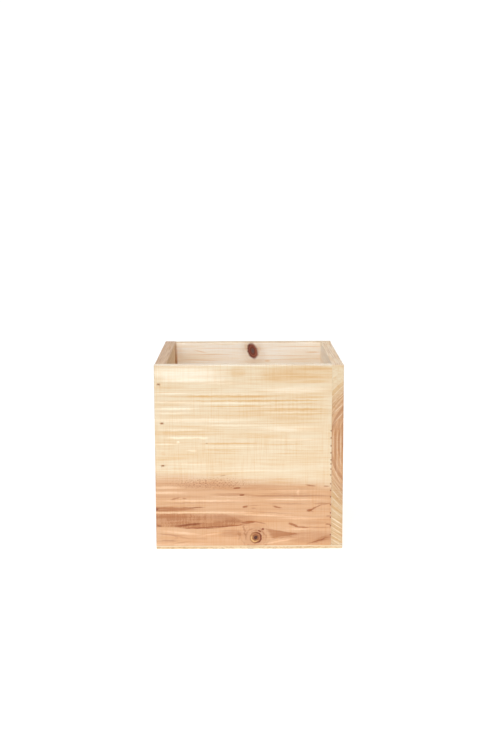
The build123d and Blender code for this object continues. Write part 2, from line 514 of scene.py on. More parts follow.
front_brown = [
    (55, 52.6, 66, 3.0, 0, 0.2), (100, 51.5, 44, 2.4, 0, 0.1), (62, 46.2, 22, 1.4, 0, 0.45),
    (108, 44.8, 42, 1.2, 0, 0.5), (104, 46.4, 30, 0.5, 0, 0.3), (108, 37.9, 24, 0.8, 0, 0.4),
    (4, 33.9, 34, 2.6, 0, 0.9), (30, 35, 14, 0.9, 2, 0.6), (136, 38.2, 10, 1.0, 0, 0.5),
    (136, 8.4, 9, 2.6, 17, 0.35), (8, 7, 14, 0.9, 0, 0.4), (12, 12.4, 16, 0.7, -5, 0.35),
    (72.2, 15.5, 1.2, 6.5, 4, 0.6), (67.8, 11.7, 1.5, 5.5, 8, 0.35), (128, 22, 16, 2.2, 0, 0.2),
    (40, 39.4, 40, 1.0, 1, 0.3), (62, 26, 24, 4.5, 0, 0.35), (128, 10, 30, 7, 0, 0.4),
    (61, 13.4, 13, 4.4, 0, 0.42), (20, 10.4, 13, 0.8, -12, 0.3), (20, 5.6, 12, 0.7, 9, 0.3),
    (36, 9, 10, 1.0, 0, 0.2),
]
front_streaks = [
    (27, 20.7, 15, 1.3, 6, 0.95), (55, 19.4, 28.6, 0.81, 3, 0.6), (74.5, 22.3, 8, 1.3, 3, 0.8),
    (78, 23.2, 7.7, 0.94, -2, 0.6), (86, 22.1, 5.5, 0.81, -10, 0.5), (112, 20.4, 5.6, 1.6, -22, 0.85),
    (119, 18.2, 6.6, 1.2, -6, 0.6), (132, 18, 17.6, 0.54, 0, 0.4), (66, 51.3, 3.7, 1.08, 3, 0.9),
    (70.5, 45.4, 2.6, 1.08, 0, 0.95), (16, 42.7, 5.3, 0.81, 12, 0.6), (23.6, 42.8, 2.2, 0.68, -10, 0.6),
    (73, 35.7, 3.1, 1.22, 14, 0.9), (80, 36.6, 6.6, 0.54, 4, 0.4), (79, 34.4, 2.9, 0.54, 0, 0.4),
    (98.5, 35.4, 4.8, 1.08, -12, 0.8), (124.6, 32.4, 3.1, 1.22, 10, 0.9),
    (129.5, 34.6, 6.4, 0.94, 28, 0.7), (135.5, 36.9, 5, 0.68, 8, 0.3), (127.4, 31.5, 2, 0.54, -20, 0.4),
    (92, 30.7, 26.4, 0.54, -3, 0.4), (126, 53.2, 5.5, 0.81, -4, 0.8), (139, 52.6, 3.5, 0.68, 0, 0.7),
    (55, 61.8, 3.7, 0.68, 5, 0.5), (134, 7.4, 8.8, 0.81, 18, 0.7), (128, 5.2, 6.6, 0.68, 8, 0.4),
    (140.5, 20.6, 2.6, 0.68, 0, 0.8), (140.5, 27.6, 2.6, 0.54, 0, 0.6), (0.4, 33.8, 2, 1.35, 0, 0.95),
    (9, 12.5, 6.6, 0.54, -6, 0.3), (10, 7.7, 7.7, 0.68, 0, 0.35), (16, 9.8, 1.8, 2.7, 0, 0.15),
    (32, 35.3, 6.6, 0.68, 4, 0.7), (42, 88.6, 1.3, 0.81, 0, 0.5), (34, 17.8, 18.7, 0.6, 0, 0.85),
    (60, 19.4, 14.3, 0.6, 7, 0.85), (104, 9.7, 14.3, 0.54, 9, 0.5),
]
JOINT_TEAR = (0.9, 0.8)  # half length and half height of a torn spot at the right joint
TEAR_HEIGHTS = (
    98.4, 92.6, 86.0, 80.2, 74.4, 71.0, 66.8, 61.8, 54.5, 49.0, 43.6, 37.0, 30.2, 26.5, 19.4, 11.8
)
joint_tears = [(142.5, up, *JOINT_TEAR) for up in TEAR_HEIGHTS]
front_lists = (front_golden_field, front_gold, front_cream, front_blush, front_brown, front_streaks)
print(sum(len(rows) for rows in front_lists), "marks on the front board,", len(joint_tears), "tears")

# %% [markdown]
# ## The right board's end
# The right board laps over the front board, so its sawn end shows as a narrow strip beside the face.
# Its rings run steeply up the middle and lean over at both ends, and pale earlywood stands out
# between them near the floor. Here a row's first number is the depth into the board.

# %% Marks of the right board's end
end_stripes = [
    (4.75, 5.1, 8, 0.6, 34, 0.45), (4.75, 8.8, 8, 0.6, 34, 0.45), (4.75, 12.1, 8, 0.6, 34, 0.4),
    (4.75, 15.4, 8, 0.7, 34, 0.55), (4.75, 19.5, 8, 0.7, 34, 0.55), (4.75, 23.2, 8, 0.8, 34, 0.65),
    (4.75, 29.7, 8, 0.6, 40, 0.3), (4.75, 33.9, 8, 0.6, 40, 0.35), (4.75, 38.4, 9, 0.5, 48, 0.3),
    (4.75, 44.1, 10, 0.5, 55, 0.3), (4.75, 52.3, 12, 0.5, 60, 0.3), (4.75, 61, 14, 0.5, 66, 0.3),
    (2.2, 84, 0.5, 26, 0, 0.42), (5.0, 80, 0.45, 30, 0, 0.3), (8.3, 86, 0.45, 22, 0, 0.4),
    (4.75, 124.5, 7, 0.5, -36, 0.35), (4.75, 116.5, 8, 0.6, -42, 0.4), (4.75, 108.5, 9, 0.6, -50, 0.35),
]
end_shade = [
    (4.75, 16, 16, 50, 0, 0.42), (6.4, 84, 0.9, 26, 0, 0.38), (3.6, 92, 0.7, 24, 0, 0.35),
    (1.0, 100, 0.8, 30, 0, 0.3),
]
print(len(end_stripes), "pale stripes and", len(end_shade), "darker ones on the board's end")

# %% [markdown]
# ## Knots
# A knot is a branch cut across. The trunk grew round the branch, so it is an ellipse of rings of its
# own with a line of bark, and the grain outside it swerves and darkens. All of that follows from one
# number, the distance from the branch's middle in shares of its radius.


# %% Knots and torn fibres
def knot_layers(wood, centre, size, tilt, colours, edge_blur, swirled):
    """A cut branch as an ellipse: a dark heart, a brown disc, a pale crescent and a line of bark.

    Distances are in shares of the ellipse's own radius. The crescent lies low on the left and the
    bark is thickest on the right. Round the knot the grain swirls in rings, out to three radii.
    """
    shader = wood.shader
    core_colour, disc_colour, crescent_colour = colours
    inputs = {
        "Vector": wood.place,
        "Location": (centre[0], 0.0, centre[1]),
        "Rotation": (0.0, -math.radians(tilt), 0.0),
        "Scale": (size[0], 100.0, size[1]),
    }
    local = shader.add("ShaderNodeMapping", {"vector_type": "TEXTURE"}, inputs)
    ragged = (shader.noise(wood.place, (2.2, 2.2, 2.2)) - 0.5) * 0.3
    reach = shader.vector("LENGTH", local, output="Value") + ragged
    sideways, _, upwards = shader.split(local)
    low_left = (sideways * -0.6 - upwards * 0.8).ramp(0.0, 0.5)
    inside = reach.ramp(1.0 - edge_blur, 1.0 + edge_blur, 1.0, 0.0)
    crescent = reach.ramp(0.5, 0.62) * reach.ramp(0.74, 0.88, 1.0, 0.0) * low_left
    inner_line = reach.ramp(0.3, 0.4) * reach.ramp(0.48, 0.66, 1.0, 0.0)
    bark = reach.ramp(0.66, 0.84) * reach.ramp(0.96, 1.12, 1.0, 0.0) * sideways.ramp(-0.6, 0.4, 0.15, 1.0)
    core = reach.ramp(0.26, 0.4, 1.0, 0.0)
    halo = reach.ramp(1.0, 3.2, 1.0, 0.0)
    drawn = (shader.noise(wood.place, (7.0, 7.0, 7.0)) - 0.5) * 1.2
    patchy = shader.noise(wood.place, (6.0, 6.0, 6.0), 1.0).ramp(0.42, 0.6)
    swirl = ((reach + drawn) * 1.7).math("FRACT").ramp(0.35, 0.8) * halo * reach.ramp(1.05, 1.3)
    return [
        (halo * 0.35, BROWN, "MULTIPLY"),
        (swirl * patchy * swirled, BROWN, "MULTIPLY"),
        (inside, disc_colour, "MIX"),
        (crescent, crescent_colour, "MIX"),
        (inner_line * 0.75, DARK, "MULTIPLY"),
        (bark * inside, BARK, "MULTIPLY"),
        (core, core_colour, "MIX"),
    ]


def knot_shadow(shader, place):
    """The two brown shapes where the grain runs into the front knot.

    Left of it a band lies between a top edge and a bottom edge that close in on each other as
    smooth steps. Its upper part pales towards the knot, and saw cuts cross it. Right of the knot is
    a wedge, its half height falling in a straight line to its tip.
    """
    wedge_up, wedge_tip, wedge_slope = 12.65, 117.0, 0.175
    along, deep, up = shader.split(place)
    top = 30.0 - along.ramp(54.0, 77.0) * 7.5
    bottom = 19.0 - along.ramp(8.0, 34.0) * 1.4 + along.ramp(42.0, 76.0) * 4.0
    band = (top - up).ramp(-0.6, 0.9) * (up - bottom).ramp(-0.5, 0.5) * along.ramp(64.0, 76.0, 1.0, 0.0)
    upper_part = (up - bottom).ramp(2.5, 8.0) * along.ramp(26.0, 60.0)
    cuts = shader.noise(place, (1.2, 90.0, 16.0), 1.0).ramp(0.35, 0.65, 0.75, 1.2)
    band = band * (1.0 - upper_part * 0.72) * cuts
    band = band * shader.noise(place, (22.0, 5.0, 3.2)).ramp(0.3, 0.7, 0.6, 1.25)
    half_height = (wedge_tip - along) * wedge_slope
    blunt_end = (along + (up - wedge_up) * 0.6).ramp(90.5, 95.0)
    wedge = (half_height - (up - wedge_up).math("ABSOLUTE")).ramp(-0.3, 0.5) * blunt_end
    wedge = wedge * along.ramp(92.0, 112.0, 0.85, 1.3)
    return (band + wedge) * deep.ramp(0.5, 2.5, 1.0, 0.0)


def torn_fibres(shader, place, patch):
    """Short dark pits where the planer tore the fibres, inside a soft ellipse of the outer face."""
    pits = shader.noise(place, (1.6, 3.0, 0.8), 1.0).ramp(0.5, 0.62)
    return pits * marks(shader, place, [(*patch, 0, 0.8)], core=0.3)


print("knot and torn fibres ready")

# %% [markdown]
# ## Four boards from four places in the trunk
# The same Softwood makes every board. What tells them apart is where the pith lay: far behind the
# face gives straight lines, close to it gives arches. Only the front board, the top of the back
# board's inner face and the right board's end need marks of their own, since they are what is seen
# first. A board's inner face is painted paler than its wood, a painted brightening against the shade
# inside the box, and its rim gets a colour of its own, near white on the front board as a painted
# highlight.


# %% The boards' figures
def front_wood(side, brads):
    """Sapwood over heartwood, with every band and streak of the face and its knot."""
    wood = Softwood("front_softwood", side, (34.0, 12.0), (0.0, 0.0), (60.5, 0.05, 5.0), seed=3.0)
    wood.grow(knots=[(81.8, 9.8, 22.0, 17.0, 0.75)])
    shader = wood.shader
    ragged = shader.noise(wood.place, (5.0, 5.0, 2.2), 2.0, 1)
    ragged = shader.vector("SUBTRACT", ragged, (0.5, 0.5, 0.5))
    place = shader.vector("ADD", wood.place, shader.vector("MULTIPLY", ragged, (5.0, 0.0, 1.2)))
    broken = shader.noise(wood.place, (16.0, 5.0, 0.9), 2.0).ramp(0.3, 0.6, 0.75, 1.3)
    layers = [
        (marks(shader, place, front_cream, core=0.25) * (broken * 0.4 + 0.6), CREAM, "MIX"),
        (marks(shader, place, front_blush, core=0.2) * broken, BLUSH, "MIX"),
        (marks(shader, place, front_golden_field, core=0.72), GOLDEN, "MULTIPLY"),
        (marks(shader, place, front_gold, core=0.3) * broken, GOLDEN, "MULTIPLY"),
        (marks(shader, place, front_brown, core=0.45) * broken, BROWN, "MULTIPLY"),
        (knot_shadow(shader, place), BROWN, "MULTIPLY"),
        (torn_fibres(shader, wood.place, (46, 55.5, 44, 6.5)), BROWN, "MULTIPLY"),
        (marks(shader, place, front_streaks, core=0.4), DARK, "MULTIPLY"),
    ]
    knot_colours = (paint(74, 32, 20), paint(176, 124, 82), paint(216, 178, 118))
    layers += knot_layers(wood, (81.3, 9.7), (5.0, 4.9), 0, knot_colours, 0.08, 0.8)
    spots = [(84.5, 15.2, 1.9, 0.95, -25, 1.4), (87.2, 16.8, 1.3, 1.2, 0, 1.6)]
    spots += [(*tear, 0, 0.9) for tear in joint_tears]
    layers.append((marks(shader, wood.place, spots, core=0.4), BARK, "MULTIPLY"))
    # The rim colour is near white: a painted highlight along the front's top edge.
    return wood.finish(brads, 0.3, rim=(0.75, paint(252, 246, 232)), layers=layers, sawn=0.42)


def right_wood(side, brads):
    """A board from near the pith, with arches on its face and steep rings on its end."""
    heart = (55.0, 0.0, 11.0)
    late = (0.1, 0.55)
    wood = Softwood("right_softwood", side, (-36.0, 88.0), (0.13, 0.02), heart, seed=41.0, late=late)
    wood.grow()
    wood.latewood = wood.latewood * wood.up.ramp(132.0, 143.0, 1.0, 0.3)
    shader = wood.shader
    end_face = shader.add("ShaderNodeCombineXYZ", {}, {0: wood.deep, 1: wood.along, 2: wood.up})
    layers = [
        (marks(shader, end_face, end_shade, core=0.5), BROWN, "MULTIPLY"),
        (marks(shader, end_face, end_stripes, core=0.3), CREAM, "MIX"),
    ]
    # A near-white inner colour: painted brightening against the shade inside the box.
    inner = (0.9, paint(253, 244, 230))
    return wood.finish(brads, 0.42, inner, rim=(0.8, paint(238, 220, 197)), layers=layers)


def back_wood(side, brads):
    """A pale board with one large knot that goes right through, near the rim."""
    heart = (38.0, 0.0, 8.0)
    wood = Softwood("back_softwood", side, (30.0, 70.0), (-0.05, 0.03), heart, seed=77.0)
    wood.grow(knots=[(71.6, 144.5, 18.0, 16.0, 0.8)])
    knot_colours = (paint(96, 66, 60), paint(138, 72, 54), paint(152, 84, 60))
    layers = knot_layers(wood, (71.8, 144.5), (4.5, 7.2), -20, knot_colours, 0.26, 0.15)
    shader = wood.shader
    inner_face = shader.vector("SUBTRACT", wood.place, (0.0, side.thickness, 0.0))
    # A dark band down the inner face at the board's left end, in the corner where it meets the left
    # board.
    corner_line = [(side.length - 0.4, 78.0, 2.8, 90.0, 0, 1.0)]
    pink_lines = [
        (108, 141, 34, 0.8, 0, 0.5), (100, 147, 36, 0.5, 0, 0.5), (120, 136, 24, 0.7, 2, 0.5),
        (40, 140, 28, 0.7, 0, 0.5), (30, 148.4, 30, 0.6, 0, 0.5), (45, 136, 34, 0.7, 0, 0.5),
        (17, 143, 9, 0.7, 0, 0.9), (58.4, 135, 4, 1.4, 0, 0.6), (77.4, 148, 3.0, 5.5, -10, 0.45),
        (66, 146, 2.5, 4.0, -10, 0.3), (120, 144, 9, 0.8, 12, 0.6), (76, 130, 90, 2.5, 0, 0.3),
    ]
    pink = paint(236, 204, 164)
    layers.insert(0, (marks(shader, inner_face, pink_lines, core=0.2), pink, "MULTIPLY"))
    layers.append((marks(shader, inner_face, corner_line, core=0.6), DARK, "MULTIPLY"))
    # The near-white inner colour is painted brightening against the shade inside the box.
    return wood.finish(brads, 0.25, (0.95, paint(254, 248, 238)), layers=layers)


def left_wood(side, brads):
    """A brown board, bolder in its latewood than the others."""
    heart = (70.0, 0.0, 3.0)
    wood = Softwood("left_softwood", side, (-20.0, 120.0), (0.06, -0.04), heart, seed=120.0)
    # The inner colour is painted brightening against the shade inside the box; the rim colour is the
    # rim's own tone.
    rim = (0.7, paint(216, 194, 170))
    return wood.grow().finish(brads, 0.7, (0.7, paint(226, 200, 162)), rim)


WOODS = {"front": front_wood, "right": right_wood, "back": back_wood, "left": left_wood}
print("figures for the", ", ".join(WOODS), "boards")

# %% [markdown]
# ## Noise on a grid of points
# The shapes need the same kind of unevenness as the shaders, but in numpy, because the saw marks
# and the worn edges have to be in the mesh. Value noise is enough: random numbers on the corners of
# a lattice, blended between corners by a smooth step.


# %% Numpy noise and steps
def smooth_step(values, low, high):
    """0 up to low and 1 from high, with a cubic curve between: t * t * (3 - 2t)."""
    share = np.clip((values - low) / (high - low), 0.0, 1.0)
    return share * share * (3.0 - 2.0 * share)


def lattice_noise(points, stretch, seed):
    """Noise from 0 to 1 over points, its grains as long as stretch says, in mm.

    Each lattice corner gets a random number by mixing its whole coordinates; a point blends its
    eight corners, weighted by the smooth step of how far it lies between them.
    """
    cell = points / np.array(stretch)
    base = np.floor(cell).astype(np.int64)
    share = smooth_step(cell - base, 0.0, 1.0)
    total = np.zeros(points.shape[:-1])
    for corner in np.ndindex(2, 2, 2):
        mixed = (base + corner) @ np.array([73856093, 19349663, 83492791]) + seed * 7919
        mixed = ((mixed ^ (mixed >> 13)) * 1274126177) & 0xFFFFFFFF
        number = ((mixed ^ (mixed >> 16)) & 0xFFFF) / 65535.0
        total += number * np.prod(np.where(corner, share, 1.0 - share), axis=-1)
    return total


def uneven_lines(low, high, spacing, crowds):
    """Grid lines from low to high, closer together round some places.

    Each crowd is (centre, half width, spacing there). The lines are equal steps along the summed
    density of lines, read back as places.
    """
    fine = np.linspace(low, high, 4000)
    density = np.full_like(fine, 1.0 / spacing)
    for centre, half_width, close in crowds:
        inside = 1.0 - smooth_step(np.abs(fine - centre), half_width, half_width * 1.5)
        density = np.maximum(density, inside / close)
    count = np.concatenate([[0.0], np.cumsum((density[1:] + density[:-1]) / 2 * np.diff(fine))])
    return np.interp(np.linspace(0.0, count[-1], int(round(count[-1])) + 1), count, fine)


print("numpy helpers ready")

# %% [markdown]
# ## A board as a surface
# A board could be a cube with a Bevel modifier, but a bevel is too even for sawn and handled wood,
# and it can't hold saw marks or the dents over the nails. Here the board is one closed surface: the
# outline of its section, with its corners rounded, is carried along the grain and drawn in a little
# at both ends.

# %% Outline and grid of a board
RIM_EASE = 0.8  # worn radius of the rim and of the outer upright corner
SAWN_EASE = 0.08  # radius left on edges that were only sawn
ARC_POINTS = 3  # between the two ends of a rounded corner
EDGE_POINTS = 11  # across the rim, and across the foot
JOINT_GAP = 0.012  # the boards stand off each other and the panel by this, each


def outline(side, ups):
    """The section's closed outline as (deep, up) points, their outward directions and a cap's width.

    Four straight stretches joined by quarter circles, starting at the foot of the outer face and
    going up it, over the rim, down the inner face and back under the foot.
    """
    rim_deep = np.linspace(RIM_EASE, side.thickness - RIM_EASE, EDGE_POINTS)
    foot_deep = np.linspace(SAWN_EASE, side.thickness - SAWN_EASE, EDGE_POINTS)
    turn = np.linspace(0.0, math.pi / 2, ARC_POINTS + 2)[1:-1]
    corners = [
        (RIM_EASE, side.rim - RIM_EASE, math.pi - turn, RIM_EASE),
        (side.thickness - RIM_EASE, side.rim - RIM_EASE, math.pi / 2 - turn, RIM_EASE),
        (side.thickness - SAWN_EASE, side.foot + SAWN_EASE, -turn, SAWN_EASE),
        (SAWN_EASE, side.foot + SAWN_EASE, -math.pi / 2 - turn, SAWN_EASE),
    ]
    arcs = [
        (np.stack([deep + r * np.cos(a), up + r * np.sin(a)], 1), np.stack([np.cos(a), np.sin(a)], 1))
        for deep, up, a, r in corners
    ]
    straights = [
        (np.zeros_like(ups), ups, (-1.0, 0.0)),
        (rim_deep, np.full_like(rim_deep, side.rim), (0.0, 1.0)),
        (np.full_like(ups, side.thickness), ups[::-1], (1.0, 0.0)),
        (foot_deep[::-1], np.full_like(foot_deep, side.foot), (0.0, -1.0)),
    ]
    points, directions = [], []
    for (deep, up, facing), (arc_points, arc_directions) in zip(straights, arcs):
        points += [np.stack([deep, up], 1), arc_points]
        directions += [np.tile(facing, (len(deep), 1)), arc_directions]
    return np.concatenate(points), np.concatenate(directions), len(rim_deep) + 2 * ARC_POINTS + 2


def drawn_in(ease, distance):
    """How far a rounded edge of radius ease has drawn in, at a distance from the end.

    A quarter circle: ease - sqrt(ease * ease - (ease - distance) * (ease - distance)).
    """
    left = np.clip(ease - distance, 0.0, None)
    return np.where(left > 0.0, ease - np.sqrt(np.clip(ease**2 - left**2, 0.0, None)), 0.0)


def board_grid(side, alongs, ups):
    """The board's points and outward directions as (sections, outline points, 3) arrays.

    Near either end the whole outline is drawn in by the small radius. At the exposed end the outer
    face goes in further, by the worn radius, and the rest of the section closes up evenly.
    """
    loop, facing, cap_width = outline(side, ups)
    exposed_ease = SAWN_EASE + (RIM_EASE - SAWN_EASE) * np.clip(-facing[:, 0], 0, 1) ** 2
    from_start, from_end = alongs[:, None], (side.length - alongs)[:, None]
    tip = np.clip(SAWN_EASE - from_end, 0.0, None) / SAWN_EASE
    tip = tip - np.clip(exposed_ease - from_start, 0.0, None) / exposed_ease
    inset = drawn_in(SAWN_EASE, from_start) + drawn_in(SAWN_EASE, from_end)
    squeeze = drawn_in(RIM_EASE, from_start) - drawn_in(SAWN_EASE, from_start)
    flat = loop - inset[..., None] * facing
    flat[..., 0] += squeeze * (1.0 - loop[:, 0] / side.thickness)
    points = np.concatenate([np.broadcast_to(alongs[:, None, None], (*tip.shape, 1)), flat], axis=-1)
    level = np.sqrt(np.clip(1.0 - tip**2, 0.0, 1.0))[..., None]
    directions = np.concatenate([tip[..., None], facing * level], axis=-1)
    return points, directions, cap_width


print("a board's section has", 4 * ARC_POINTS + 2 * EDGE_POINTS, "points besides its two broad faces")

# %% [markdown]
# ## End caps, faces and finished pieces
# The skin of the board is a grid that closes on itself, so only its two ends are open. An end needs
# its own points to show rough end grain, and they should meet the outline point for point, so each
# end gets a small grid stretched between the four sides of the outline.


# %% Caps and pieces
def cap(ring, rows, columns):
    """A flat grid that closes one end: a Coons patch between the four sides of its outline.

    A point is the blend of its two sides left and right, plus the blend of top and bottom, less
    the blend of the four corners.
    """
    count = len(ring)
    outer = np.arange(rows)
    top = np.arange(rows - 1, rows - 1 + columns)
    inner = (top[-1] + rows - 1) - outer
    bottom = np.concatenate([[0], np.arange(count - 1, inner[0] - 1, -1)])
    up = np.linspace(0.0, 1.0, rows)[:, None, None]
    across = np.linspace(0.0, 1.0, columns)[None, :, None]
    sides_blend = (1 - across) * ring[outer][:, None] + across * ring[inner][:, None]
    ends_blend = (1 - up) * ring[bottom][None] + up * ring[top][None]
    corners = (1 - up) * ((1 - across) * ring[0] + across * ring[inner[0]])
    corners = corners + up * ((1 - across) * ring[outer[-1]] + across * ring[top[-1]])
    index = np.full((rows, columns), -1)
    index[:, 0], index[:, -1], index[-1], index[0] = outer, inner, top, bottom
    return sides_blend + ends_blend - corners, index


def quads(index):
    """The faces of a grid of vertex numbers, one four-sided face for each cell."""
    return np.stack([index[:-1, :-1], index[1:, :-1], index[1:, 1:], index[:-1, 1:]], -1).reshape(-1, 4)


def new_piece(name, points, faces, material):
    """A mesh object at the origin, from points in metres and four-sided faces."""
    mesh = bpy.data.meshes.new(name)
    mesh.from_pydata(points.tolist(), [], faces.tolist())
    mesh.polygons.foreach_set("use_smooth", np.ones(len(faces), dtype=bool))
    mesh.materials.append(material)
    mesh.update()
    piece = bpy.data.objects.new(name, mesh)
    bpy.context.scene.collection.objects.link(piece)
    return piece


print("caps and pieces ready")

# %% [markdown]
# ## What the work has done to the wood
# A nail gun drives each brad a little under the face and leaves a dent as long as the brad's head.
# The saw leaves shallow lines, hands and boxes wear the edges, and chips break off the corners. All
# of it only takes wood away, so every point is pushed inwards by a depth that is the sum of the
# parts, and the board never leaves the size that the CAD gives it.

# %% Dents, saw marks and wear
HEAD_TOP = 0.5  # mm of a brad that count as its head when its place is read
BRADS_APART = 3.0  # mm between two heads at the least
TEAR_DEPTH = 0.5  # where the saw tore fibres out at the board's end
DENT_DEPTH = 0.86  # just past the top of the brads' heads
DENT_HALF = (0.85, 0.72)  # half the straight part of a dent, and the radius of its round ends
SAW_DEPTH = 0.035  # mm, as are all the depths
GRAIN_DEPTH = 0.05
WAVE_DEPTH = 0.25
WEAR_DEPTH = 0.55
CHIP_DEPTH = 0.5


def brad_heads(side, node, driven, sorted_by):
    """Where a node's brad heads stand, in the side's frame.

    driven is the axis that the brads run along, and sorted_by the axis that tells them apart.
    """
    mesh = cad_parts[node].data
    corners = np.empty(len(mesh.vertices) * 3)
    mesh.vertices.foreach_get("co", corners)
    places = side.from_box(corners.reshape(-1, 3))
    heads = places[places[:, driven] < places[:, driven].min() + HEAD_TOP]
    heads = heads[np.argsort(heads[:, sorted_by])]
    groups = np.split(heads, np.nonzero(np.diff(heads[:, sorted_by]) > BRADS_APART)[0] + 1)
    return [(group.min(axis=0) + group.max(axis=0)) / 2 for group in groups]


def dents(points, brads, across, deepest):
    """The depth of the dents over the brads: slots with round ends and steep, slightly torn walls.

    The slots run along the first axis, and across is the number of the other axis they lie in.
    """
    depth = np.zeros(points.shape[:-1])
    torn = (lattice_noise(points, (0.6, 0.4, 0.4), 5) - 0.5) * 0.3
    for place in brads:
        past = np.clip(np.abs(points[..., 0] - place[0]) - DENT_HALF[0], 0.0, None)
        edge = np.hypot(past, points[..., across] - place[across]) - DENT_HALF[1] + torn
        depth = np.maximum(depth, deepest * (1.0 - smooth_step(edge, -0.2, 0.18)))
    return depth


def turning(first, second):
    """1 where a direction points halfway between two axes, and 0 along either of them.

    With a and b its shares along the two: 4 a a b b / (a a + b b).
    """
    level = first**2 + second**2
    return 4.0 * first**2 * second**2 / np.maximum(level, 1e-9)


def board_relief(side, points, facing, brads, seed, tears):
    """How deep each point lies below the blank, in mm, as the sum of everything done to the wood.

    Saw marks run up the broad faces, soft earlywood has sunk between the growth rings, the rim
    waves a little, the rounded edges are worn unevenly, and small chips are gone here and there.
    Saw marks and grain fade out towards the edges that were only sawn.
    """
    along, up = points[..., 0], points[..., 2]
    broad = smooth_step(np.abs(facing[..., 1]), 0.75, 0.98)
    rim = smooth_step(facing[..., 2], 0.5, 0.95)
    near_rim = smooth_step(up, side.rim - 1.6, side.rim - 1.0)
    near_corner = 1.0 - smooth_step(np.maximum(along, points[..., 1]), 1.0, 1.6)
    near_corner = near_corner * smooth_step(up, side.foot + SAWN_EASE, side.foot + 0.9)
    rounded = near_rim * turning(facing[..., 1], facing[..., 2])
    rounded = np.maximum(rounded, near_corner * turning(facing[..., 0], facing[..., 1]))
    margin = np.minimum.reduce([along, side.length - along, up - side.foot])
    off_edge = smooth_step(margin, SAWN_EASE, 0.9)
    saw = lattice_noise(points, (1.5, 50.0, 90.0), seed) * SAW_DEPTH
    grain = lattice_noise(points, (60.0, 3.0, 1.7), seed + 1) * GRAIN_DEPTH
    wave = lattice_noise(points, (48.0, 90.0, 900.0), seed + 2) * WAVE_DEPTH
    wear = lattice_noise(points, (9.0, 4.0, 9.0), seed + 3) ** 3 * WEAR_DEPTH
    chips = smooth_step(lattice_noise(points, (2.2, 2.0, 2.2), seed + 4), 0.86, 0.97) * CHIP_DEPTH
    depth = off_edge * (broad * (saw + grain) + rim * (wave + grain)) + rounded * (wear + chips)
    depth = depth + JOINT_GAP
    outer = smooth_step(-facing[..., 1], 0.6, 0.95)
    for tear_along, tear_up, half_length, half_height in tears:
        past = np.hypot((along - tear_along) / half_length, (up - tear_up) / half_height)
        depth = depth + outer * TEAR_DEPTH * (1.0 - smooth_step(past, 0.3, 1.0))
    return depth + outer * dents(points, brads, 2, DENT_DEPTH)


print("deepest dent", DENT_DEPTH, "mm, deepest wear", WEAR_DEPTH, "mm")

# %% [markdown]
# ## The four boards
# Each board takes its length, thickness and height from its CAD node, and the places of its dents
# from the brads that the CAD drives through it. Its grid lines crowd together where a dent or an
# edge needs them and are wide apart elsewhere, which keeps a board well under 200,000 triangles.

# %% Build the boards
GRID_ALONG, GRID_UP = 0.78, 0.95  # mm between grid lines away from edges and dents
END_ROUGH = 0.08  # mm that the sawn ends are uneven by
LAPPED = {"front": "left", "right": "front", "back": "right", "left": "back"}  # whose end it covers


def build_board(side, seed, tears):
    """One board, from its grid to its finished piece.

    A point of the skin is the blank's point less its depth times its outward direction. The skin's
    rows follow the grain and its columns go round the section, and a cap closes each end.
    """
    node = f"{side.name}_board"
    brads = brad_heads(side, f"{side.name}_to_{LAPPED[side.name]}_brads", 1, 2)
    ends = [(0.0, 1.0, 0.2), (side.length, 1.0, 0.2)]
    column = (float(np.mean([place[0] for place in brads])), 3.0, 0.4)
    alongs = uneven_lines(0.0, side.length, GRID_ALONG, [*ends, column])
    heights = [(place[2], 1.1, 0.33) for place in brads]
    ups = uneven_lines(side.foot + SAWN_EASE, side.rim - RIM_EASE, GRID_UP, heights)
    points, facing, columns = board_grid(side, alongs, ups)
    depth = board_relief(side, points, facing, brads, seed, tears)
    points = points - facing * depth[..., None]
    sections, around = points.shape[:2]
    index = np.arange(sections * around).reshape(sections, around)
    faces = [quads(np.concatenate([index, index[:, :1]], axis=1))]
    vertices = [points.reshape(-1, 3)]
    count = sections * around
    for ring, ring_index, flip in ((points[0], index[0], True), (points[-1], index[-1], False)):
        grid, places = cap(ring, len(ups), columns)
        inner = grid[1:-1, 1:-1]
        rough = lattice_noise(inner, (9.0, 0.8, 0.8), seed + 6) * END_ROUGH
        fade = np.minimum(inner[..., 1], side.thickness - inner[..., 1]) / 1.5
        inner[..., 0] += (1.0 if flip else -1.0) * rough * np.clip(fade, 0.0, 1.0)
        numbers = np.where(places >= 0, ring_index[places], -1)
        added = inner[..., 0].size
        numbers[1:-1, 1:-1] = count + np.arange(added).reshape(inner.shape[:2])
        count += added
        vertices.append(inner.reshape(-1, 3))
        faces.append(quads(numbers if flip else numbers[:, ::-1]))
    vertices, faces = np.concatenate(vertices), np.concatenate(faces)
    piece = new_piece(f"sawn_{node}", side.to_box(vertices), faces, WOODS[side.name](side, brads))
    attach(piece, "root")
    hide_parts(node)
    print(piece.name, sections, "x", around, "grid,", 2 * len(faces), "triangles")


for seed, side in enumerate(sides.values(), start=1):
    build_board(side, 10 * seed, tears=joint_tears if side.name == "front" else ())

# %% [markdown]
# ## The plywood bottom
# Three thin plies, the middle one crosswise, so that round the edge long grain and end grain lie in
# stripes. The sheet is cut flush with the boards and has one hole in the middle to drain water. Its
# surface is a ring: the section is a closed loop over the top, down the outer edge, back under the
# sheet and up the wall of the hole, and it is carried once round the square.

# %% Bottom surface
HOLE_RADIUS = 6.35
FOOT_EASE = 0.4
PANEL_DENT = 0.34  # just past the heads of the brads under the sheet
FUZZ_DEPTH = 0.12  # broken fibres on the cut edge
VENEER_DEPTH = 0.04
PLY_SEAMS = (1.0, 2.0)  # where the plies meet, above the floor


